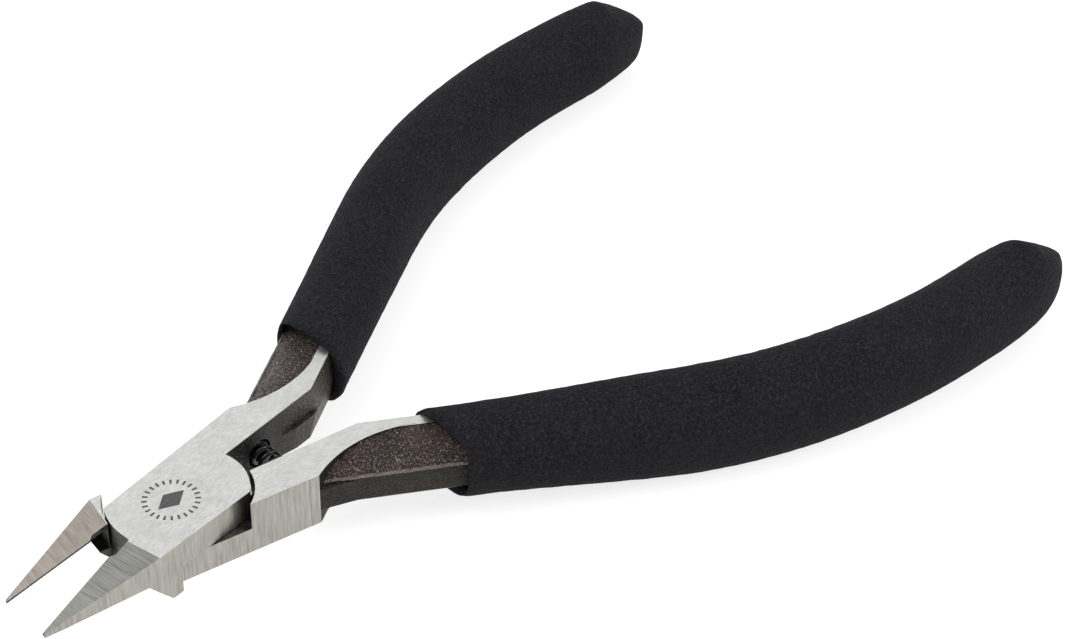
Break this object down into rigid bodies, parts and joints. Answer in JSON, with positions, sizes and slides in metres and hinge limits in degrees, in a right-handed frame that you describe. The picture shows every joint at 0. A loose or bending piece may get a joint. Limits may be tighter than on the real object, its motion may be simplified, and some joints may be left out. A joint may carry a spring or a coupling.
{
  "type": "sprue nippers",
  "caption": "Slim pointed side cutter for plastic sprues: two lapped steel halves on a flush rivet, a small return spring and bowed foam grips.",
  "frame": {"origin": "pivot axis at the joint's flat back face", "axes": "+X along the tool from the jaws towards the handles, +Z out of the face that carries the jaw bevels, +Y towards the upper half's handle"},
  "size_m": [0.1208, 0.08, 0.0114],
  "materials": {
    "ground_steel": "ground bright, dark forged skin on the handle bars",
    "rivet_steel": "ground flush",
    "spring_steel": "gloss black",
    "foam": "matte fine-pored foam"
  },
  "bodies": {
    "lower": {"lower_half": "ground_steel", "lower_grip": "foam", "pivot_rivet": "rivet_steel", "return_spring": "spring_steel"},
    "upper": {"upper_half": "ground_steel", "upper_grip": "foam"}
  },
  "joints": [
    {"name": "pivot", "type": "hinge", "parent": "lower", "child": "upper", "pos_m": [0, 0, 0], "axis": [0, 0, -1], "range_deg": [0, 16.8], "stiffness_Nm_per_rad": 1.2, "deforming": ["return_spring"]}
  ]
}
